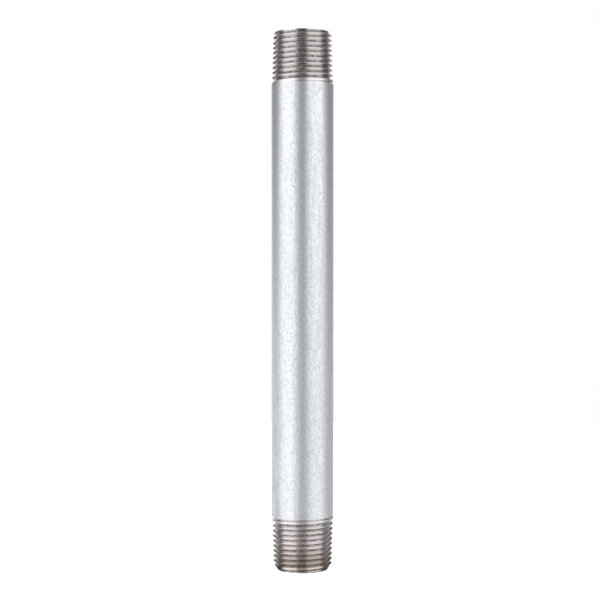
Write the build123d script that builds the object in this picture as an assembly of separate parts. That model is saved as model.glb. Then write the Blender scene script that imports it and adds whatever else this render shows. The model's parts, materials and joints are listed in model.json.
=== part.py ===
from build123d import *
import math
import os

# Galvanised steel pipe nipple, 3/8 in nominal bore by 6 in long, with a male taper pipe thread on each end.
# The nipple is one length of welded pipe. The pipe is dipped in zinc, then cut to length, reamed and threaded,
# so the zinc is missing from the threads and from the turned ends. Three nodes hold what it is made of: the
# steel wall, the zinc on its outside and the zinc in its bore.
# Frame: +Z runs along the pipe's axis, and the origin is the centre of the lower end face. Millimetres.

# Pipe, schedule 40. Its diameter is 17.145 nominal, and the pipe standard lets it differ by 0.4.
LENGTH = 152.4
PIPE_RADIUS = 17.45 / 2
WALL = 2.311
BORE_RADIUS = PIPE_RADIUS - WALL

# Hot-dip zinc
ZINC_OUTSIDE = 0.10
ZINC_BORE = 0.08
COAT_RADIUS = PIPE_RADIUS + ZINC_OUTSIDE

# Bead that the pipe's weld leaves along the bore
BEAD_HEIGHT = 0.22
BEAD_RADIUS = 1.6
BEAD_DIRECTION = 125.0

# Taper pipe thread: 18 to the inch, 60 degrees, 1 in 16 on the diameter. The crest and the root are each cut
# short of the sharp V by an amount between the standard's 0.033 and 0.096 of the pitch. The pitch diameter is
# 15.545 at the end face, and a turn's taper more than that here, which is as large as the standard lets it be.
PITCH = 25.4 / 18
FLANK_SLOPE = math.tan(math.radians(30))
TRUNCATION = 0.045 * PITCH
THREAD_HEIGHT = PITCH / (2 * FLANK_SLOPE) - 2 * TRUNCATION
ROOT_FLAT = 2 * TRUNCATION * FLANK_SLOPE
RADIAL_TAPER = 1 / 32
PITCH_RADIUS_AT_END = 15.545 / 2 + PITCH * RADIAL_TAPER
ROOT_RADIUS_AT_END = PITCH_RADIUS_AT_END - THREAD_HEIGHT / 2
CREST_RADIUS_AT_END = PITCH_RADIUS_AT_END + THREAD_HEIGHT / 2

# Where each thread stops, measured from its own end face, over how many turns its groove rises to the surface,
# and how it is turned about the axis
LOWER_THREAD_LENGTH = 16.3
UPPER_THREAD_LENGTH = 15.0
LOWER_RUNOUT_TURNS = 2.0
UPPER_RUNOUT_TURNS = 1.0
LOWER_THREAD_CLOCKING = 92.0
UPPER_THREAD_CLOCKING = -60.0
LOWER_FULL_TURNS = LOWER_THREAD_LENGTH / PITCH - LOWER_RUNOUT_TURNS
UPPER_FULL_TURNS = UPPER_THREAD_LENGTH / PITCH - UPPER_RUNOUT_TURNS

# Turned ends: a chamfer, and a broken edge at the bore. The lower chamfer is as deep as the thread, and the
# upper one is lighter, so the upper groove starts in the end face.
LOWER_FACE_RADIUS = 7.15
UPPER_FACE_RADIUS = 7.8
CHAMFER_SLOPE = math.tan(math.radians(35))
REAMED_EDGE = 0.35

# The back of the die takes the zinc off the last crests, up to these heights from each end face. Around them it
# rubs the pipe, and the zinc beyond, a hair thinner than on the plain body, which starts a little past the thread
LOWER_ZINC_START = 14.4
UPPER_ZINC_START = 14.7
RUBBED = 0.01
PAST_THREAD = 0.4
CREST_CONE_HEIGHT = (PIPE_RADIUS - 2 * RUBBED - CREST_RADIUS_AT_END) / RADIAL_TAPER

# The groove tool reaches a little past the zinc, starts a turn before the end face, and leaves the surface
# over a quarter turn more than the runout
TOOL_CLEARANCE = 0.04
TOOL_LEAD_TURNS = 1.0
TOOL_TAIL_TURNS = 0.25


def groove_corners(root, z):
    """Radius and height of the corners of the groove tool, with its flat nose at radius root and height z."""
    reach = THREAD_HEIGHT + TOOL_CLEARANCE
    nose = ROOT_FLAT / 2
    back = nose + reach * FLANK_SLOPE
    return [(root, z - nose), (root, z + nose), (root + reach, z + back), (root + reach, z - back)]


def corner_helix(radius, z, turns, slope):
    """The path of one corner of the groove tool, from the X axis round the pipe."""
    cone_angle = math.degrees(math.atan(slope))
    pitch = PITCH / math.cos(math.radians(cone_angle))
    return Helix(pitch, turns * PITCH, radius, center=(0, 0, z), cone_angle=cone_angle).edge()


def groove_turn(first_turn, turns, root, slope):
    """The tool's path over one turn or less; root is its radius at the start, slope its rise per millimetre."""
    edges = [corner_helix(radius, z, turns, slope) for radius, z in groove_corners(root, first_turn * PITCH)]
    sides = [Face.make_surface_from_curves(edge, edges[i - 1]) for i, edge in enumerate(edges)]
    ends = [make_face(Polyline(*[edge @ end for edge in edges], close=True)) for end in (0, 1)]
    return Rot(0, 0, 360 * first_turn) * Solid(Shell(sides + [end.face() for end in ends]))


def groove_run(first_turn, last_turn, root, slope):
    """The tool's path between two turns, as one solid per turn so that each cut stays simple."""
    turns_left = last_turn - first_turn
    steps = math.ceil(turns_left)
    length = turns_left / steps
    return [
        groove_turn(first_turn + step * length, length, root + step * length * PITCH * slope, slope)
        for step in range(steps)
    ]


def full_depth_run(full_turns):
    """The groove at full depth, from before the end face to the start of the runout."""
    start_root = ROOT_RADIUS_AT_END - TOOL_LEAD_TURNS * PITCH * RADIAL_TAPER
    return groove_run(-TOOL_LEAD_TURNS, full_turns, start_root, RADIAL_TAPER)


def runout_run(full_turns, runout_turns):
    """The groove's last turns, where the tool rises out of the steel and through the zinc."""
    start_root = ROOT_RADIUS_AT_END + full_turns * PITCH * RADIAL_TAPER
    slope = (COAT_RADIUS - start_root) / (runout_turns * PITCH)
    return groove_run(full_turns, full_turns + runout_turns + TOOL_TAIL_TURNS, start_root, slope)


def at_lower_end(shapes):
    """Shapes made for one end, placed on the lower end."""
    return [Rot(0, 0, LOWER_THREAD_CLOCKING) * shape for shape in shapes]


def at_upper_end(shapes):
    """Shapes made for one end, turned over onto the upper end."""
    return [Pos(0, 0, LENGTH) * Rot(180, 0, 0) * Rot(0, 0, UPPER_THREAD_CLOCKING) * shape for shape in shapes]


def cut_in_turn(solid, tools):
    """The solid with each tool cut from it, one after the other."""
    for tool in tools:
        solid = solid - tool
    return solid


def body_outline(radius):
    """Radius and height of each corner of the pipe's outside, or its zinc's, as far as the zinc reaches."""
    return [
        (radius - RUBBED, LOWER_ZINC_START),
        (radius, LOWER_THREAD_LENGTH + PAST_THREAD),
        (radius, LENGTH - UPPER_THREAD_LENGTH - PAST_THREAD),
        (radius - RUBBED, LENGTH - UPPER_ZINC_START),
    ]


def end_outline(face_radius):
    """Radius, and height from the end face, of each corner of a turned end: face, chamfer and crest cone."""
    chamfer_height = (CREST_RADIUS_AT_END - face_radius) / (CHAMFER_SLOPE - RADIAL_TAPER)
    return [
        (0, 0),
        (face_radius, 0),
        (CREST_RADIUS_AT_END + chamfer_height * RADIAL_TAPER, chamfer_height),
        (CREST_RADIUS_AT_END + CREST_CONE_HEIGHT * RADIAL_TAPER, CREST_CONE_HEIGHT),
    ]


def turned_blank():
    """Solid bar with both ends turned, before it is bored."""
    lower_end = end_outline(LOWER_FACE_RADIUS)
    upper_end = [(radius, LENGTH - height) for radius, height in reversed(end_outline(UPPER_FACE_RADIUS))]
    outline = Polyline(*lower_end, *body_outline(PIPE_RADIUS), *upper_end, close=True)
    return revolve(make_face(Plane.XZ * outline), Axis.Z)


def bore_solid(inset):
    """What fills the bore, weld bead left out, and taken in by inset all round."""
    bead_centre = BORE_RADIUS - BEAD_HEIGHT + BEAD_RADIUS
    bead = Rot(0, 0, BEAD_DIRECTION) * Pos(bead_centre, 0, 0) * Circle(BEAD_RADIUS + inset)
    return extrude(Circle(BORE_RADIUS - inset) - bead, amount=LENGTH)


def reamers():
    """The two cones that take the sharp edge off each end of the bore."""
    radius = BORE_RADIUS + REAMED_EDGE
    cone = Pos(0, 0, radius / 2) * Cone(radius, 0, radius)
    return at_lower_end([cone]) + at_upper_end([cone])


def pipe_wall(runouts):
    """The pipe's steel: turned ends, reamed through bore, and a thread on each end."""
    full_depth = at_lower_end(full_depth_run(LOWER_FULL_TURNS)) + at_upper_end(full_depth_run(UPPER_FULL_TURNS))
    return cut_in_turn(turned_blank() - bore_solid(0), reamers() + full_depth + runouts)


def zinc_coat_outside(runouts):
    """The zinc on the body, with the threads' runouts cut through its ends."""
    outline = Polyline(*body_outline(COAT_RADIUS), *reversed(body_outline(PIPE_RADIUS)), close=True)
    return cut_in_turn(revolve(make_face(Plane.XZ * outline), Axis.Z), runouts)


def zinc_coat_bore():
    """The zinc in the bore, over the weld bead, as far as the reamed edges."""
    return cut_in_turn(bore_solid(0) - bore_solid(ZINC_BORE), reamers())


def main():
    """Builds each node and writes it to parts/."""
    lower_runout = at_lower_end(runout_run(LOWER_FULL_TURNS, LOWER_RUNOUT_TURNS))
    upper_runout = at_upper_end(runout_run(UPPER_FULL_TURNS, UPPER_RUNOUT_TURNS))
    runouts = lower_runout + upper_runout
    nodes = {
        "pipe_wall": pipe_wall(runouts),
        "zinc_coat_outside": zinc_coat_outside(runouts),
        "zinc_coat_bore": zinc_coat_bore(),
    }
    os.makedirs("parts", exist_ok=True)
    for name, solid in nodes.items():
        export_step(solid, f"parts/{name}.step")


main()
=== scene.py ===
import json
import logging
import math
from collections.abc import Callable
from dataclasses import dataclass
from enum import Enum
from typing import Any

import bmesh
import bpy
from mathutils import Matrix, Vector, noise


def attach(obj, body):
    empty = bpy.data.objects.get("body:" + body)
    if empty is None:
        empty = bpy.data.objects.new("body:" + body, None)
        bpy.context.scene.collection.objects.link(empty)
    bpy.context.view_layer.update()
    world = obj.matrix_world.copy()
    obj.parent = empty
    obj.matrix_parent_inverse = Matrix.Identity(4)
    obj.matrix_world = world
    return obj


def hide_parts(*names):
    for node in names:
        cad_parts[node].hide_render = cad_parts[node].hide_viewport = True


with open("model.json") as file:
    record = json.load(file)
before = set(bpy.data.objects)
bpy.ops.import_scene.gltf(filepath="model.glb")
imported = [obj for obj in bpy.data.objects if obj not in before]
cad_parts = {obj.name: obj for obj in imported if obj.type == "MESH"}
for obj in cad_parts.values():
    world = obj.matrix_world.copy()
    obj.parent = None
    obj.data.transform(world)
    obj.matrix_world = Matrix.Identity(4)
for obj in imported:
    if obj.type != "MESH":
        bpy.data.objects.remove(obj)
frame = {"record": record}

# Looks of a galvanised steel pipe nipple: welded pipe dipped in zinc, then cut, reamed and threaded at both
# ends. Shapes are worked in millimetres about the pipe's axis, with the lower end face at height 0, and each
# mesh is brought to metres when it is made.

LOG = logging.getLogger("nipple")
MM = 0.001
TURN = 2 * math.pi
FLANK = math.tan(math.radians(30))

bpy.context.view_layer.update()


class Slot(Enum):
    """The record's material slots."""

    STEEL = "cut_steel"
    COAT = "hot_dip_zinc"
    BORE = "bore_zinc"


def linear(hex_colour: str) -> tuple[float, float, float, float]:
    """Turns an sRGB hex colour into the linear colour that a shader takes.

    Args:
        hex_colour: Six hex digits, such as "d9dcde".

    Returns:
        Red, green, blue and an alpha of 1.
    """
    channels = (int(hex_colour[i : i + 2], 16) / 255 for i in (0, 2, 4))
    red, green, blue = (c / 12.92 if c <= 0.04045 else ((c + 0.055) / 1.055) ** 2.4 for c in channels)
    return red, green, blue, 1.0


def add_node(
    tree: bpy.types.NodeTree, kind: str, settings: dict[str, Any] | None = None, **links: Any
) -> bpy.types.Node:
    """Adds a node, with its settings and what goes into its sockets.

    Args:
        tree: Node tree that it joins.
        kind: Blender's name for the node, such as "ShaderNodeMath".
        settings: Attributes set on the node itself.
        links: Socket name, or "i" and a socket number, to an output socket or a plain value.
            An underscore in a name stands for a space.

    Returns:
        The new node.
    """
    node = tree.nodes.new(kind)
    for name, value in (settings or {}).items():
        setattr(node, name, value)
    for name, value in links.items():
        is_number = name[0] == "i" and name[1:].isdigit()
        socket = node.inputs[int(name[1:])] if is_number else node.inputs[name.replace("_", " ")]
        if isinstance(value, bpy.types.NodeSocket):
            tree.links.new(value, socket)
        else:
            socket.default_value = value
    return node


# ---------------------------------------------------------------- sizes


@dataclass(frozen=True)
class Pipe:
    """The pipe that the nipple is cut from, in millimetres."""

    length: float
    coat_radius: float
    lining_radius: float
    zinc_outside: float = 0.10
    zinc_bore: float = 0.08
    reamed_edge: float = 0.35
    bead_height: float = 0.22
    bead_half_width: float = 0.9
    bead_direction: float = math.radians(125)

    @classmethod
    def from_frame(cls) -> "Pipe":
        """Reads the pipe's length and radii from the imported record."""
        mounts = {mount["name"]: mount for mount in frame["record"]["mounts"]}
        return cls(
            length=mounts["upper_thread"]["pos_m"][2] / MM,
            coat_radius=mounts["body_grip"]["dims"]["r_mm"],
            lining_radius=mounts["flow_bore"]["dims"]["r_mm"],
        )

    @property
    def radius(self) -> float:
        """Outside radius of the steel."""
        return self.coat_radius - self.zinc_outside

    @property
    def bore_radius(self) -> float:
        """Inside radius of the steel."""
        return self.lining_radius + self.zinc_bore

    def bead(self, azimuth: float) -> float:
        """How far the weld bead stands into the bore at an azimuth."""
        away = math.remainder(azimuth - self.bead_direction, TURN) * self.bore_radius
        return self.bead_height * math.exp(-((away / self.bead_half_width) ** 2))


@dataclass(frozen=True)
class TaperThread:
    """A right-hand male taper thread, with heights from its end face and azimuths from a groove's centre."""

    pipe: Pipe
    length: float
    clocking: float
    pitch: float = 25.4 / 18
    runout_turns: float = 2.0
    end_face_radius: float = 7.15
    zinc_start: float = 14.4
    gauge_diameter: float = 15.545
    taper: float = 1 / 32
    truncation: float = 0.045
    rubbed: float = 0.02
    chamfer_slope: float = math.tan(math.radians(35))

    @property
    def depth(self) -> float:
        """Radial height of the thread, from root to crest."""
        return self.pitch * (1 / (2 * FLANK) - 2 * self.truncation)

    @property
    def flat(self) -> float:
        """Width of the flat along the root."""
        return 2 * self.truncation * self.pitch * FLANK

    @property
    def pitch_radius_at_end(self) -> float:
        """Pitch radius at the end face, a turn's taper over the gauge's."""
        return self.gauge_diameter / 2 + self.pitch * self.taper

    @property
    def crest_radius_at_end(self) -> float:
        """Radius that the crests would have at the end face."""
        return self.pitch_radius_at_end + self.depth / 2

    @property
    def chamfer_height(self) -> float:
        """Height at which the chamfer meets the crests."""
        return (self.crest_radius_at_end - self.end_face_radius) / (self.chamfer_slope - self.taper)

    @property
    def cone_height(self) -> float:
        """Height at which the cone of the crests meets the pipe's own surface."""
        return (self.pipe.radius - self.rubbed - self.crest_radius_at_end) / self.taper

    @property
    def full_depth_height(self) -> float:
        """Height at which the groove starts to run out."""
        return self.length - self.runout_turns * self.pitch

    def crest(self, z: float) -> float:
        """Radius of the turned surface, before the groove is cut, at height z."""
        cone = self.crest_radius_at_end + z * self.taper
        chamfer = self.end_face_radius + z * self.chamfer_slope
        return min(cone, chamfer, self.pipe.radius)

    def root(self, z: float) -> float:
        """Radius of the groove's bottom where its centre is at height z."""
        root_at_end = self.pitch_radius_at_end - self.depth / 2
        full = root_at_end + min(z, self.full_depth_height) * self.taper
        last = root_at_end + self.full_depth_height * self.taper
        slope = (self.pipe.coat_radius - last) / (self.runout_turns * self.pitch)
        return full + max(0.0, z - self.full_depth_height) * slope

    def half_width(self, z: float, surface: float) -> float:
        """Half the groove's width where it breaks a surface of that radius, with its centre at height z."""
        return max(0.0, self.flat / 2 + (surface - self.root(z)) * FLANK) if surface > self.root(z) else 0.0

    def groove_at(self, azimuth: float, z: float) -> tuple[float, float]:
        """Finds the groove nearest to a point.

        Args:
            azimuth: The point's azimuth in this frame, in radians.
            z: Its height.

        Returns:
            Height of the groove's centre at that azimuth, and how far the point lies above it.
        """
        turns = z / self.pitch - azimuth / TURN
        above = (turns - round(turns)) * self.pitch
        return z - above, above

    def surface(self, azimuth: float, z: float) -> float:
        """Radius of the steel's finished surface at a point."""
        centre, above = self.groove_at(azimuth, z)
        flank = self.root(centre) + max(0.0, abs(above) - self.flat / 2) / FLANK
        return min(self.crest(z), flank)


@dataclass(frozen=True)
class Dent:
    """A knock that has pressed the crests in at one place."""

    azimuth: float
    height: float
    reach: float
    depth: float

    def press(self, azimuth: float, z: float, radius: float) -> float:
        """How far the dent presses the surface in at a point."""
        across = math.remainder(azimuth - self.azimuth, TURN) * radius
        return self.depth * math.exp(-(across**2 + (z - self.height) ** 2) / self.reach**2)


# ---------------------------------------------------------------- mesh work


def polar(co: Vector) -> tuple[float, float]:
    """Azimuth and radius of a point about the Z axis."""
    return math.atan2(co.y, co.x), math.hypot(co.x, co.y)


def set_radius(vert: bmesh.types.BMVert, radius: float) -> None:
    """Moves a vertex straight out from the axis to a radius."""
    now = math.hypot(vert.co.x, vert.co.y)
    vert.co.x *= radius / now
    vert.co.y *= radius / now


def upright_chain(bm: bmesh.types.BMesh, radius: float, low: float, high: float, rows: int) -> list[Any]:
    """Adds an upright line of vertices above the X axis.

    Args:
        bm: Mesh that it joins.
        radius: Its distance from the Z axis.
        low: Height of its lowest vertex.
        high: Height of its highest vertex.
        rows: Number of edges in it.

    Returns:
        Its vertices and edges.
    """
    ends = [bm.verts.new((radius, 0, z)) for z in (low, high)]
    edge = bm.edges.new(ends)
    bmesh.ops.subdivide_edges(bm, edges=[edge], cuts=rows - 1)
    return bm.verts[:] + bm.edges[:]


def wind(bm: bmesh.types.BMesh, chain: list[Any], turns: int, steps: int, pitch: float) -> None:
    """Winds a chain round the Z axis as a right-hand helix, and merges its turns where they touch.

    Args:
        bm: Mesh that holds nothing but the chain.
        chain: Vertices and edges to wind.
        turns: Whole turns to make.
        steps: Faces in one turn.
        pitch: Rise in one turn.
    """
    bmesh.ops.spin(
        bm,
        geom=chain,
        cent=(0, 0, 0),
        axis=(0, 0, 1),
        dvec=(0, 0, pitch / steps),
        angle=TURN,
        steps=steps,
        use_merge=False,
        use_duplicate=False,
    )
    one_turn = bm.verts[:] + bm.edges[:] + bm.faces[:]
    for turn in range(1, turns):
        made = bmesh.ops.duplicate(bm, geom=one_turn)["geom"]
        risen = [g for g in made if isinstance(g, bmesh.types.BMVert)]
        bmesh.ops.translate(bm, vec=(0, 0, turn * pitch), verts=risen)
    bmesh.ops.remove_doubles(bm, verts=bm.verts[:], dist=1e-4)


def cut_level(bm: bmesh.types.BMesh, z: float, drop_above: bool = False, drop_below: bool = False) -> None:
    """Cuts a mesh across at a height, and drops one side of the cut if asked."""
    bmesh.ops.bisect_plane(
        bm,
        geom=bm.verts[:] + bm.edges[:] + bm.faces[:],
        dist=1e-5,
        plane_co=(0, 0, z),
        plane_no=(0, 0, 1),
        clear_outer=drop_above,
        clear_inner=drop_below,
    )


def rim(bm: bmesh.types.BMesh, z: float) -> list[bmesh.types.BMEdge]:
    """Open edges that lie at a height."""
    return [e for e in bm.edges if e.is_boundary and all(abs(v.co.z - z) < 1e-3 for v in e.verts)]


def draw_rim(
    bm: bmesh.types.BMesh, edges: list[Any], radius: Callable[[float], float], z: float
) -> list[Any]:
    """Extrudes an open rim to a new radius and height.

    Args:
        bm: Mesh that holds the rim.
        edges: The rim's edges.
        radius: Gives the new rim's radius at an azimuth.
        z: The new rim's height.

    Returns:
        The new rim's edges.
    """
    made = bmesh.ops.extrude_edge_only(bm, edges=edges)["geom"]
    for vert in (g for g in made if isinstance(g, bmesh.types.BMVert)):
        set_radius(vert, radius(polar(vert.co)[0]))
        vert.co.z = z
    return [g for g in made if isinstance(g, bmesh.types.BMEdge) and g.is_boundary]


def finish_piece(bm: bmesh.types.BMesh, name: str, sharp: float = 32.0) -> bpy.types.Object:
    """Closes a mesh's making: normals outward, metres, smooth shading with sharp edges, and a linked object.

    Args:
        bm: Mesh in millimetres, freed here.
        name: Name of the piece.
        sharp: Angle in degrees past which an edge is sharp.

    Returns:
        The piece, at the origin.
    """
    bmesh.ops.recalc_face_normals(bm, faces=bm.faces[:])
    bmesh.ops.scale(bm, vec=(MM, MM, MM), verts=bm.verts[:])
    mesh = bpy.data.meshes.new(name)
    bm.to_mesh(mesh)
    bm.free()
    mesh.shade_smooth()
    mesh.set_sharp_from_angle(angle=math.radians(sharp))
    piece = bpy.data.objects.new(name, mesh)
    bpy.context.scene.collection.objects.link(piece)
    return piece


# ---------------------------------------------------------------- finishes


@dataclass(frozen=True)
class HotDipZinc:
    """Hot-dip zinc, wiped as the pipe leaves the bath.

    It gives the eye a satin, bluish-white metal with faint streaks along the pipe and a fine dull mottling.
    """

    name: str = "hot_dip_zinc_wiped"
    colour: str = "dcdee1"
    streak_colour: str = "cdd1d5"
    speck_colour: str = "c0c4c9"
    roughness: float = 0.25
    speck_width: float = 0.4
    streak_width: float = 0.7
    streak_length: float = 9.0
    speck_stretch: float = 2.0
    dull_roughness: float = 0.12
    relief: float = 0.04
    relief_strength: float = 0.6
    streak_limits: tuple[float, float] = (0.38, 0.7)
    speck_limits: tuple[float, float] = (0.46, 0.66)

    def material(self) -> bpy.types.Material:
        """Builds the material.

        Returns:
            The material, its patterns on Object coordinates.
        """
        material = bpy.data.materials.new(self.name)
        material.use_nodes = True
        tree = material.node_tree
        shader = tree.nodes["Principled BSDF"]
        place = add_node(tree, "ShaderNodeTexCoord").outputs["Object"]
        across, along = 1 / (self.streak_width * MM), 1 / (self.streak_length * MM)
        streak_place = add_node(tree, "ShaderNodeMapping", Vector=place, Scale=(across, across, along))
        streaks = add_node(tree, "ShaderNodeTexNoise", Vector=streak_place.outputs[0], Scale=1.0, Detail=3.0)
        fine, tall = 1 / (self.speck_width * MM), 1 / (self.speck_stretch * self.speck_width * MM)
        speck_place = add_node(tree, "ShaderNodeMapping", Vector=place, Scale=(fine, fine, tall))
        specks = add_node(tree, "ShaderNodeTexNoise", Vector=speck_place.outputs[0], Scale=1.0, Detail=2.0)
        low, high = self.streak_limits
        streak_mask = add_node(tree, "ShaderNodeMapRange", i0=streaks.outputs[0], i1=low, i2=high)
        low, high = self.speck_limits
        speck_mask = add_node(tree, "ShaderNodeMapRange", i0=specks.outputs[0], i1=low, i2=high)
        dull = add_node(
            tree,
            "ShaderNodeMath",
            {"operation": "MAXIMUM"},
            i0=streak_mask.outputs[0],
            i1=speck_mask.outputs[0],
        )
        streaked = add_node(
            tree,
            "ShaderNodeMix",
            {"data_type": "RGBA"},
            i0=streak_mask.outputs[0],
            i6=linear(self.colour),
            i7=linear(self.streak_colour),
        )
        colour = add_node(
            tree,
            "ShaderNodeMix",
            {"data_type": "RGBA"},
            i0=speck_mask.outputs[0],
            i6=streaked.outputs[2],
            i7=linear(self.speck_colour),
        )
        tree.links.new(colour.outputs[2], shader.inputs["Base Color"])
        rough = add_node(
            tree,
            "ShaderNodeMapRange",
            i0=dull.outputs[0],
            i1=0.0,
            i2=1.0,
            i3=self.roughness,
            i4=self.roughness + self.dull_roughness,
        )
        tree.links.new(rough.outputs[0], shader.inputs["Roughness"])
        shader.inputs["Metallic"].default_value = 1.0
        bump = add_node(
            tree,
            "ShaderNodeBump",
            Height=specks.outputs[0],
            Strength=self.relief_strength,
            Distance=self.relief * MM,
        )
        tree.links.new(bump.outputs[0], shader.inputs["Normal"])
        return material


@dataclass(frozen=True)
class DieCutSteel:
    """Low-carbon steel cut by a threading die.

    It gives the eye a slightly warm grey. The tool marks run round the thread, so its highlights are drawn
    out along the pipe. The roots are darker, painted shade in the grooves with some grime, and the steel
    is tinted beige towards the lower end face.
    """

    thread: TaperThread
    name: str = "die_cut_steel"
    crest_colour: str = "dad5d5"
    # The root colour is painted shade in the grooves, with some grime.
    root_shade_and_grime_colour: str = "7f7a78"
    lower_tint_colour: str = "b3a68f"
    roughness: float = 0.24
    anisotropy: float = 0.6
    mottle: float = 0.8
    mottle_depth: float = 0.5
    dark_from: float = 0.8
    dark_full: float = 1.1
    lower_tint_bottom: float = 1.0
    lower_tint_top: float = 8.0
    lower_tint_amount: float = 0.6

    def material(self) -> bpy.types.Material:
        """Builds the material.

        Returns:
            The material, its patterns on Object coordinates.
        """
        material = bpy.data.materials.new(self.name)
        material.use_nodes = True
        tree = material.node_tree
        shader = tree.nodes["Principled BSDF"]
        place = add_node(tree, "ShaderNodeTexCoord").outputs["Object"]
        parts = add_node(tree, "ShaderNodeSeparateXYZ", Vector=place)
        depth = self.depth_below_crest(tree, parts)
        mottle = add_node(tree, "ShaderNodeTexNoise", Vector=place, Scale=1 / (self.mottle * MM), Detail=3.0)
        shade_and_grime_mottle = add_node(
            tree,
            "ShaderNodeMath",
            {"operation": "MULTIPLY_ADD"},
            i0=mottle.outputs[0],
            i1=self.mottle_depth,
            i2=-self.mottle_depth / 2,
        )
        groove_shade_and_grime = add_node(tree, "ShaderNodeMath", {"operation": "ADD"}, i0=depth, i1=shade_and_grime_mottle.outputs[0])
        # The steel darkens towards the roots: painted shade in the grooves, with some grime, its edge broken
        # up by the mottle.
        mask = add_node(
            tree,
            "ShaderNodeMapRange",
            {"interpolation_type": "SMOOTHSTEP"},
            i0=groove_shade_and_grime.outputs[0],
            i1=self.dark_from,
            i2=self.dark_full,
        )
        steel = add_node(
            tree,
            "ShaderNodeMix",
            {"data_type": "RGBA"},
            i0=mask.outputs[0],
            i6=linear(self.crest_colour),
            i7=linear(self.root_shade_and_grime_colour),
        )
        # Tints the steel beige towards the lower end face, fading out above it.
        lower_tint = add_node(
            tree,
            "ShaderNodeMapRange",
            i0=parts.outputs["Z"],
            i1=self.lower_tint_bottom * MM,
            i2=self.lower_tint_top * MM,
            i3=self.lower_tint_amount,
            i4=0.0,
        )
        colour = add_node(
            tree,
            "ShaderNodeMix",
            {"data_type": "RGBA", "blend_type": "MULTIPLY"},
            i0=lower_tint.outputs[0],
            i6=steel.outputs[2],
            i7=linear(self.lower_tint_colour),
        )
        tree.links.new(colour.outputs[2], shader.inputs["Base Color"])
        shader.inputs["Roughness"].default_value = self.roughness
        shader.inputs["Anisotropic"].default_value = self.anisotropy
        shader.inputs["Anisotropic Rotation"].default_value = 0.25
        round_pipe = add_node(tree, "ShaderNodeTangent", {"direction_type": "RADIAL", "axis": "Z"})
        tree.links.new(round_pipe.outputs[0], shader.inputs["Tangent"])
        shader.inputs["Metallic"].default_value = 1.0
        return material

    def depth_below_crest(self, tree: bpy.types.NodeTree, parts: bpy.types.Node) -> bpy.types.NodeSocket:
        """Adds the nodes that say how deep in the groove a point is.

        Args:
            tree: Node tree that they join.
            parts: Node that splits the Object coordinates.

        Returns:
            Output that is 0 on a crest and 1 at a root.
        """
        thread = self.thread
        radius = add_node(
            tree,
            "ShaderNodeVectorMath",
            {"operation": "LENGTH"},
            i0=add_node(tree, "ShaderNodeCombineXYZ", X=parts.outputs["X"], Y=parts.outputs["Y"]).outputs[0],
        )
        from_top = add_node(
            tree,
            "ShaderNodeMath",
            {"operation": "SUBTRACT"},
            i0=thread.pipe.length * MM,
            i1=parts.outputs["Z"],
        )
        height = add_node(
            tree, "ShaderNodeMath", {"operation": "MINIMUM"}, i0=parts.outputs["Z"], i1=from_top.outputs[0]
        )
        cone = add_node(
            tree,
            "ShaderNodeMath",
            {"operation": "MULTIPLY_ADD"},
            i0=height.outputs[0],
            i1=thread.taper,
            i2=thread.crest_radius_at_end * MM,
        )
        gap = add_node(
            tree, "ShaderNodeMath", {"operation": "SUBTRACT"}, i0=cone.outputs[0], i1=radius.outputs["Value"]
        )
        return add_node(
            tree,
            "ShaderNodeMath",
            {"operation": "DIVIDE", "use_clamp": True},
            i0=gap.outputs[0],
            i1=thread.depth * MM,
        ).outputs[0]


@dataclass(frozen=True)
class BlownZinc:
    """Hot-dip zinc in a bore that steam has blown clear.

    It gives the eye a duller and more uneven grey than the wiped outside.
    """

    name: str = "hot_dip_zinc_blown"
    colour: str = "b4b8ba"
    dull_colour: str = "93989b"
    roughness: float = 0.42
    patch: float = 2.5
    patch_limits: tuple[float, float] = (0.35, 0.65)
    relief: float = 0.05
    relief_strength: float = 0.4

    def material(self) -> bpy.types.Material:
        """Builds the material.

        Returns:
            The material, its pattern on Object coordinates.
        """
        material = bpy.data.materials.new(self.name)
        material.use_nodes = True
        tree = material.node_tree
        shader = tree.nodes["Principled BSDF"]
        place = add_node(tree, "ShaderNodeTexCoord").outputs["Object"]
        patches = add_node(tree, "ShaderNodeTexNoise", Vector=place, Scale=1 / (self.patch * MM), Detail=4.0)
        low, high = self.patch_limits
        mask = add_node(tree, "ShaderNodeMapRange", i0=patches.outputs[0], i1=low, i2=high)
        colour = add_node(
            tree,
            "ShaderNodeMix",
            {"data_type": "RGBA"},
            i0=mask.outputs[0],
            i6=linear(self.colour),
            i7=linear(self.dull_colour),
        )
        tree.links.new(colour.outputs[2], shader.inputs["Base Color"])
        bump = add_node(
            tree,
            "ShaderNodeBump",
            Height=patches.outputs[0],
            Strength=self.relief_strength,
            Distance=self.relief * MM,
        )
        tree.links.new(bump.outputs[0], shader.inputs["Normal"])
        shader.inputs["Roughness"].default_value = self.roughness
        shader.inputs["Metallic"].default_value = 1.0
        return material


# ---------------------------------------------------------------- sub-assemblies


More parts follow.
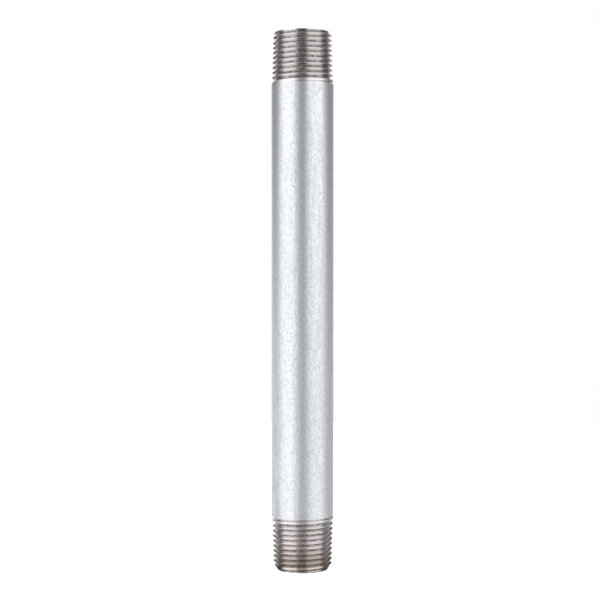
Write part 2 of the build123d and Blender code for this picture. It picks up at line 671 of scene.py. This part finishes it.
@dataclass
class SteelWall:
    """The welded steel pipe with a thread on each end."""

    pipe: Pipe
    lower: TaperThread
    upper: TaperThread
    dents: tuple[Dent, ...] = ()
    rows: int = 12
    steps: int = 192
    margin: float = 0.6
    dent_floor: float = 0.2

    def threaded_end(self, thread: TaperThread) -> bmesh.types.BMesh:
        """Builds one threaded end in its own frame, from the bore out over the thread to the plain pipe.

        Args:
            thread: The end's thread.

        Returns:
            A new mesh in millimetres, open at the top of its outside and at the top of its bore.
        """
        bm = bmesh.new()
        top = thread.length + self.margin
        chain = upright_chain(bm, self.pipe.radius, -1.5 * thread.pitch, -0.5 * thread.pitch, self.rows)
        wind(bm, chain, math.ceil(top / thread.pitch) + 2, self.steps, thread.pitch)
        for vert in bm.verts:
            self.fit_row(thread, vert)
        cut_level(bm, 0, drop_below=True)
        cut_level(bm, thread.chamfer_height)
        cut_level(bm, thread.cone_height)
        cut_level(bm, top, drop_above=True)
        for vert in bm.verts:
            azimuth, _ = polar(vert.co)
            set_radius(vert, thread.surface(azimuth, vert.co.z))
        ream = self.pipe.bore_radius + self.pipe.reamed_edge
        edges = draw_rim(bm, rim(bm, 0), lambda azimuth: ream, 0)
        edges = draw_rim(
            bm, edges, lambda azimuth: self.pipe.bore_radius - self.pipe.bead(azimuth), self.pipe.reamed_edge
        )
        draw_rim(bm, edges, lambda azimuth: self.pipe.bore_radius - self.pipe.bead(azimuth), top)
        return bm

    def fit_row(self, thread: TaperThread, vert: bmesh.types.BMVert) -> None:
        """Slides a vertex along the axis so that the rows follow the groove's root, flanks and edges."""
        azimuth, _ = polar(vert.co)
        centre, above = thread.groove_at(azimuth, vert.co.z)
        share = 2 * abs(above) / thread.pitch
        root = thread.flat / 2
        widest = thread.pitch / 2 - root / 2
        edge = min(max(thread.half_width(centre, thread.crest(centre)), 2 * root), widest)
        stops = ((0.0, 0.0), (1 / 6, root), (5 / 6, edge), (1.0, thread.pitch / 2))
        for (low_share, low), (high_share, high) in zip(stops, stops[1:]):
            if share <= high_share + 1e-6:
                away = low + (high - low) * (share - low_share) / (high_share - low_share)
                break
        vert.co.z = centre + math.copysign(away, above)

    def build(self) -> bpy.types.Object:
        """Builds the whole wall as one closed mesh.

        Returns:
            The piece.
        """
        whole = bmesh.new()
        for thread, place in (
            (self.lower, Matrix.Rotation(self.lower.clocking, 4, "Z")),
            (
                self.upper,
                Matrix.Translation((0, 0, self.pipe.length))
                @ Matrix.Rotation(math.pi, 4, "X")
                @ Matrix.Rotation(self.upper.clocking, 4, "Z"),
            ),
        ):
            end = self.threaded_end(thread)
            bmesh.ops.transform(end, matrix=place, verts=end.verts[:])
            mesh = bpy.data.meshes.new("end")
            end.to_mesh(mesh)
            end.free()
            whole.from_mesh(mesh)
            bpy.data.meshes.remove(mesh)
        low, high = self.lower.length + self.margin, self.pipe.length - self.upper.length - self.margin
        open_edges = rim(whole, low) + rim(whole, high)
        middle = (self.pipe.radius + self.pipe.bore_radius) / 2
        outside = [e for e in open_edges if polar(e.verts[0].co)[1] > middle]
        inside = [e for e in open_edges if polar(e.verts[0].co)[1] <= middle]
        bmesh.ops.bridge_loops(whole, edges=outside)
        bmesh.ops.bridge_loops(whole, edges=inside)
        for vert in whole.verts:
            azimuth, radius = polar(vert.co)
            pressed = sum(dent.press(azimuth, vert.co.z, radius) for dent in self.dents)
            if pressed > 1e-4 and radius > middle:
                set_radius(vert, max(radius - pressed, self.lower.end_face_radius - self.dent_floor))
        return finish_piece(whole, "steel_wall")


@dataclass
class ZincSleeve:
    """The zinc on the pipe's outside, from one runout to the other."""

    pipe: Pipe
    lower: TaperThread
    upper: TaperThread
    rows: int = 2
    steps: int = 160
    inset: float = 0.02
    swell: float = 0.03
    run_width: float = 3.0
    run_length: float = 26.0
    clear_of_steel: float = 0.002
    drift_margin: float = 30.0

    def build(self) -> bpy.types.Object:
        """Winds the sleeve as a strip that closes up past each runout, and gives it its thickness.

        Returns:
            The piece.
        """
        bm = bmesh.new()
        pitch = self.lower.pitch
        first = math.floor(self.lower.zinc_start / pitch) - 1
        start = first * pitch
        chain = upright_chain(
            bm, self.pipe.coat_radius, start + self.inset * pitch, start + (1 - self.inset) * pitch, self.rows
        )
        turns = math.ceil((self.pipe.length - self.upper.zinc_start - start) / pitch) + 1
        wind(bm, chain, turns, self.steps, pitch)
        turned = Matrix.Rotation(self.lower.clocking, 4, "Z")
        bmesh.ops.transform(bm, matrix=turned, verts=bm.verts[:])
        for vert in bm.verts:
            self.fit_row(vert)
        bmesh.ops.remove_doubles(bm, verts=bm.verts[:], dist=2e-3)
        cut_level(bm, self.lower.zinc_start, drop_below=True)
        cut_level(bm, self.pipe.length - self.upper.zinc_start, drop_above=True)
        self.thicken(bm)
        return finish_piece(bm, "zinc_sleeve")

    def fit_row(self, vert: bmesh.types.BMVert) -> None:
        """Slides a vertex along the axis so that the strip's edges follow the grooves' edges."""
        pitch = self.lower.pitch
        azimuth, _ = polar(vert.co)
        turns = vert.co.z / pitch - (azimuth - self.lower.clocking) / TURN
        share = ((turns % 1) - self.inset) / (1 - 2 * self.inset)
        centre = vert.co.z - (turns % 1) * pitch + self.drift(vert.co.z)
        low, high = (self.groove_edge(z) for z in (centre, centre + pitch))
        vert.co.z = centre + low + share * (pitch - low - high)
        set_radius(vert, self.pipe.coat_radius - self.run(vert.co))

    def groove_edge(self, centre: float) -> float:
        """Half the width, at the zinc's surface, of a groove whose centre is at a height."""
        from_top = self.pipe.length - centre
        return max(
            self.lower.half_width(centre, self.pipe.coat_radius),
            self.upper.half_width(from_top, self.pipe.coat_radius),
        )

    def drift(self, z: float) -> float:
        """How far the winding slides up by a height, so that it meets the upper thread in step."""
        pitch = self.lower.pitch
        lower_phase = -pitch * self.lower.clocking / TURN
        upper_phase = self.pipe.length + pitch * self.upper.clocking / TURN
        offset = math.remainder(upper_phase - lower_phase, pitch)
        share = min(max((z - self.drift_margin) / (self.pipe.length - 2 * self.drift_margin), 0.0), 1.0)
        return offset * share * share * (3 - 2 * share)

    def run(self, co: Vector) -> float:
        """How much thinner than its thickest the zinc is at a point: long soft runs."""
        spot = Vector((co.x / self.run_width, co.y / self.run_width, co.z / self.run_length))
        return self.swell * (0.5 + 0.5 * noise.noise(spot))

    def thicken(self, bm: bmesh.types.BMesh) -> None:
        """Gives the sleeve its inner face on the steel, and the edges between."""
        made = bmesh.ops.extrude_face_region(bm, geom=bm.faces[:], use_keep_orig=True)["geom"]
        for vert in (g for g in made if isinstance(g, bmesh.types.BMVert)):
            set_radius(vert, self.pipe.radius + self.clear_of_steel)


@dataclass
class BoreLining:
    """The zinc in the bore, over the weld bead."""

    pipe: Pipe
    steps: int = 128
    rows: int = 60
    clear_of_steel: float = 0.004
    ripple_height: float = 0.02
    ripple_width: float = 4.0
    ripple_length: float = 7.0

    def build(self) -> bpy.types.Object:
        """Spins the lining's section round the bore and draws the weld bead into it.

        Returns:
            The piece.
        """
        bm = bmesh.new()
        low, high = self.pipe.reamed_edge, self.pipe.length - self.pipe.reamed_edge
        zinc = self.pipe.zinc_bore
        corners = [
            (self.pipe.bore_radius - self.clear_of_steel, low),
            (self.pipe.lining_radius, low + zinc),
            (self.pipe.lining_radius, high - zinc),
            (self.pipe.bore_radius - self.clear_of_steel, high),
        ]
        verts = [bm.verts.new((radius, 0, z)) for radius, z in corners]
        edges = [bm.edges.new((verts[i - 1], vert)) for i, vert in enumerate(verts)]
        bmesh.ops.subdivide_edges(bm, edges=edges[::2], cuts=self.rows - 1)
        bmesh.ops.spin(
            bm,
            geom=bm.verts[:] + bm.edges[:],
            cent=(0, 0, 0),
            axis=(0, 0, 1),
            dvec=(0, 0, 0),
            angle=TURN,
            steps=self.steps,
            use_merge=True,
            use_duplicate=False,
        )
        for vert in bm.verts:
            azimuth, radius = polar(vert.co)
            x, y, z = vert.co
            spot = Vector((x / self.ripple_width, y / self.ripple_width, z / self.ripple_length))
            ripple = self.ripple_height * noise.noise(spot)
            rough = max(0.0, ripple) if radius < self.pipe.bore_radius - zinc / 2 else 0.0
            set_radius(vert, radius - self.pipe.bead(azimuth) - rough)
        return finish_piece(bm, "bore_zinc_lining")


# ---------------------------------------------------------------- studio


@dataclass(frozen=True)
class Studio:
    """A white floor inside a tent of soft panels.

    The panels fan out about the line that runs straight back from the camera, so each one shows as an upright
    band on the pipe. Angles are where the band falls on the pipe, in degrees to the right of its front, and
    each angle comes with the panel's brightness there. The body mirrors the panels high and low, and the
    threads' flanks mirror ceiling and beneath. Their strengths are tuned for the front view.
    """

    floor_radius: float = 0.45
    floor_glow: float = 0.6
    high: tuple[tuple[float, float], ...] = (
        (-90, 0.9), (-77, 0.75), (-70, 0.27), (-53, 0.29), (-44, 1.15), (-38, 1.62), (-17, 1.6),
        (-7, 0.48), (-1, 0.32), (4, 0.42), (11, 1.4), (38, 1.46), (46, 0.75), (53, 0.32), (60, 0.3),
        (78, 0.42), (86, 1.0),
    )
    low: tuple[tuple[float, float], ...] = (
        (-90, 1.1), (-66, 1.15), (-46, 1.2), (-28, 1.32), (-16, 1.24), (-6, 0.84), (0, 0.62), (7, 0.62),
        (20, 1.08), (32, 1.15), (45, 0.92), (62, 0.76), (78, 0.78), (86, 1.0),
    )
    ceiling: tuple[tuple[float, float], ...] = (
        (-90, 0.6), (-80, 0.4), (-74, 0.0), (-48, 0.0), (-38, 1.6), (-17, 1.6), (-9, 0.0), (7, 0.0),
        (13, 1.4), (38, 1.35), (46, 0.0), (68, 0.0), (77, 0.4), (90, 0.6),
    )
    beneath: tuple[tuple[float, float], ...] = (
        (-90, 0.6), (-80, 0.4), (-74, 0.0), (-48, 0.0), (-38, 1.75), (-15, 1.75), (-9, 0.6), (7, 0.55),
        (12, 1.45), (40, 1.45), (46, 0.2), (68, 0.1), (76, 0.4), (90, 0.6),
    )

    floor_drop: float = 0.0002
    high_from: float = 0.15
    low_from: float = -0.17
    steep_from: float = 0.2
    steep_full: float = 0.3

    def build(self) -> None:
        """Adds the floor and the tent."""
        self.floor()
        self.tent()
        bpy.context.scene.view_settings.view_transform = "Standard"

    def floor(self) -> None:
        """Adds the floor, which the eye sees as plain white paper."""
        bm = bmesh.new()
        bmesh.ops.create_circle(bm, cap_ends=True, segments=96, radius=self.floor_radius)
        bmesh.ops.translate(bm, vec=(0, 0, -self.floor_drop), verts=bm.verts[:])
        mesh = bpy.data.meshes.new("floor")
        bm.to_mesh(mesh)
        bm.free()
        floor = bpy.data.objects.new("floor", mesh)
        bpy.context.scene.collection.objects.link(floor)
        material = bpy.data.materials.new("white_studio_paper")
        material.use_nodes = True
        tree = material.node_tree
        tree.nodes.clear()
        seen = add_node(tree, "ShaderNodeLightPath").outputs["Is Camera Ray"]
        glow = add_node(tree, "ShaderNodeMapRange", i0=seen, i3=self.floor_glow, i4=1.0)
        light = add_node(tree, "ShaderNodeEmission", Color=linear("fdfdfd"), Strength=glow.outputs[0])
        paper = add_node(tree, "ShaderNodeBsdfDiffuse", Color=linear("cfcfcf"))
        both = add_node(tree, "ShaderNodeAddShader", i0=light.outputs[0], i1=paper.outputs[0])
        add_node(tree, "ShaderNodeOutputMaterial", Surface=both.outputs[0])
        floor.data.materials.append(material)
        floor.visible_glossy = False
        floor.visible_shadow = False

    def tent(self) -> None:
        """Sets the world: white to the eye, and panels to the metal."""
        world = bpy.data.worlds.new("panel_tent")
        world.use_nodes = True
        bpy.context.scene.world = world
        tree = world.node_tree
        tree.nodes.clear()
        way = add_node(tree, "ShaderNodeTexCoord").outputs["Generated"]
        parts = add_node(tree, "ShaderNodeSeparateXYZ", Vector=way)
        ahead = add_node(tree, "ShaderNodeMath", {"operation": "SUBTRACT"}, i0=1.0, i1=parts.outputs["Y"])
        fan = add_node(
            tree, "ShaderNodeMath", {"operation": "ARCTAN2"}, i0=parts.outputs["X"], i1=ahead.outputs[0]
        )
        place = add_node(tree, "ShaderNodeMapRange", i0=fan.outputs[0], i1=-math.pi / 2, i2=math.pi / 2)
        panels = (self.high, self.low, self.ceiling, self.beneath)
        brightest = max(glow for stops in panels for _, glow in stops)
        rows = []
        for stops in panels:
            row = add_node(tree, "ShaderNodeValToRGB", Fac=place.outputs[0])
            for angle, glow in stops:
                grey = glow / brightest
                row.color_ramp.elements.new((angle + 90) / 180).color = (grey, grey, grey, 1)
            row.color_ramp.elements.remove(row.color_ramp.elements[-1])
            row.color_ramp.elements.remove(row.color_ramp.elements[0])
            rows.append(row.outputs["Color"])
        fall = add_node(
            tree, "ShaderNodeMapRange", i0=parts.outputs["Z"], i1=self.high_from, i2=self.low_from
        )
        level = add_node(
            tree, "ShaderNodeMix", {"data_type": "RGBA"}, i0=fall.outputs[0], i6=rows[0], i7=rows[1]
        )
        glow = level.outputs[2]
        for row, side in ((rows[2], 1), (rows[3], -1)):
            share = add_node(
                tree,
                "ShaderNodeMapRange",
                i0=parts.outputs["Z"],
                i1=side * self.steep_from,
                i2=side * self.steep_full,
            )
            glow = add_node(
                tree, "ShaderNodeMix", {"data_type": "RGBA"}, i0=share.outputs[0], i6=glow, i7=row
            ).outputs[2]
        seen = add_node(tree, "ShaderNodeLightPath").outputs["Is Camera Ray"]
        tent = add_node(tree, "ShaderNodeBackground", Color=glow, Strength=brightest)
        white = add_node(tree, "ShaderNodeBackground", Color=linear("ffffff"), Strength=1.0)
        sky = add_node(tree, "ShaderNodeMixShader", i0=seen, i1=tent.outputs[0], i2=white.outputs[0])
        add_node(tree, "ShaderNodeOutputWorld", Surface=sky.outputs[0])


@dataclass(frozen=True)
class ProductCamera:
    """A long lens that looks level at the middle of the standing pipe."""

    pipe: Pipe
    distance: float = 418.0
    height: float = 81.0
    sideways: float = -0.71
    lens: float = 88.12
    aim_above_middle: float = 0.36

    def build(self) -> None:
        """Adds the camera and makes it the scene's."""
        data = bpy.data.cameras.new("product_camera")
        data.lens = self.lens
        data.sensor_width = 36.0
        camera = bpy.data.objects.new("product_camera", data)
        camera.location = Vector((self.sideways, -self.distance, self.height)) * MM
        target = Vector((self.sideways, 0, self.pipe.length / 2 + self.aim_above_middle)) * MM
        camera.rotation_euler = (target - camera.location).to_track_quat("-Z", "Y").to_euler()
        bpy.context.scene.collection.objects.link(camera)
        bpy.context.scene.camera = camera


# ---------------------------------------------------------------- making


def place(piece: bpy.types.Object, node: str, slot: Slot, material: bpy.types.Material) -> None:
    """Dresses a piece, and says which CAD node it stands for and which body carries it."""
    piece.data.materials.append(material)
    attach(piece, "root")
    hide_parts(node)
    LOG.info("%s: %d faces, stands for %s", piece.name, len(piece.data.polygons), node)


def main() -> None:
    """Builds the studio and the nipple."""
    logging.basicConfig(level=logging.INFO, format="%(name)s: %(message)s")
    pipe = Pipe.from_frame()
    lower = TaperThread(pipe, length=16.3, clocking=math.radians(92))
    upper = TaperThread(
        pipe, length=15.0, clocking=math.radians(-60), runout_turns=1.0, end_face_radius=7.8, zinc_start=14.7
    )
    ProductCamera(pipe).build()
    Studio().build()
    nick = Dent(azimuth=math.radians(195), height=pipe.length - 3.6, reach=0.75, depth=0.5)
    wall = SteelWall(pipe, lower, upper, dents=(nick,)).build()
    place(wall, "pipe_wall", Slot.STEEL, DieCutSteel(lower).material())
    sleeve = ZincSleeve(pipe, lower, upper).build()
    place(sleeve, "zinc_coat_outside", Slot.COAT, HotDipZinc().material())
    lining = BoreLining(pipe).build()
    place(lining, "zinc_coat_bore", Slot.BORE, BlownZinc().material())


if __name__ == "__main__":
    main()
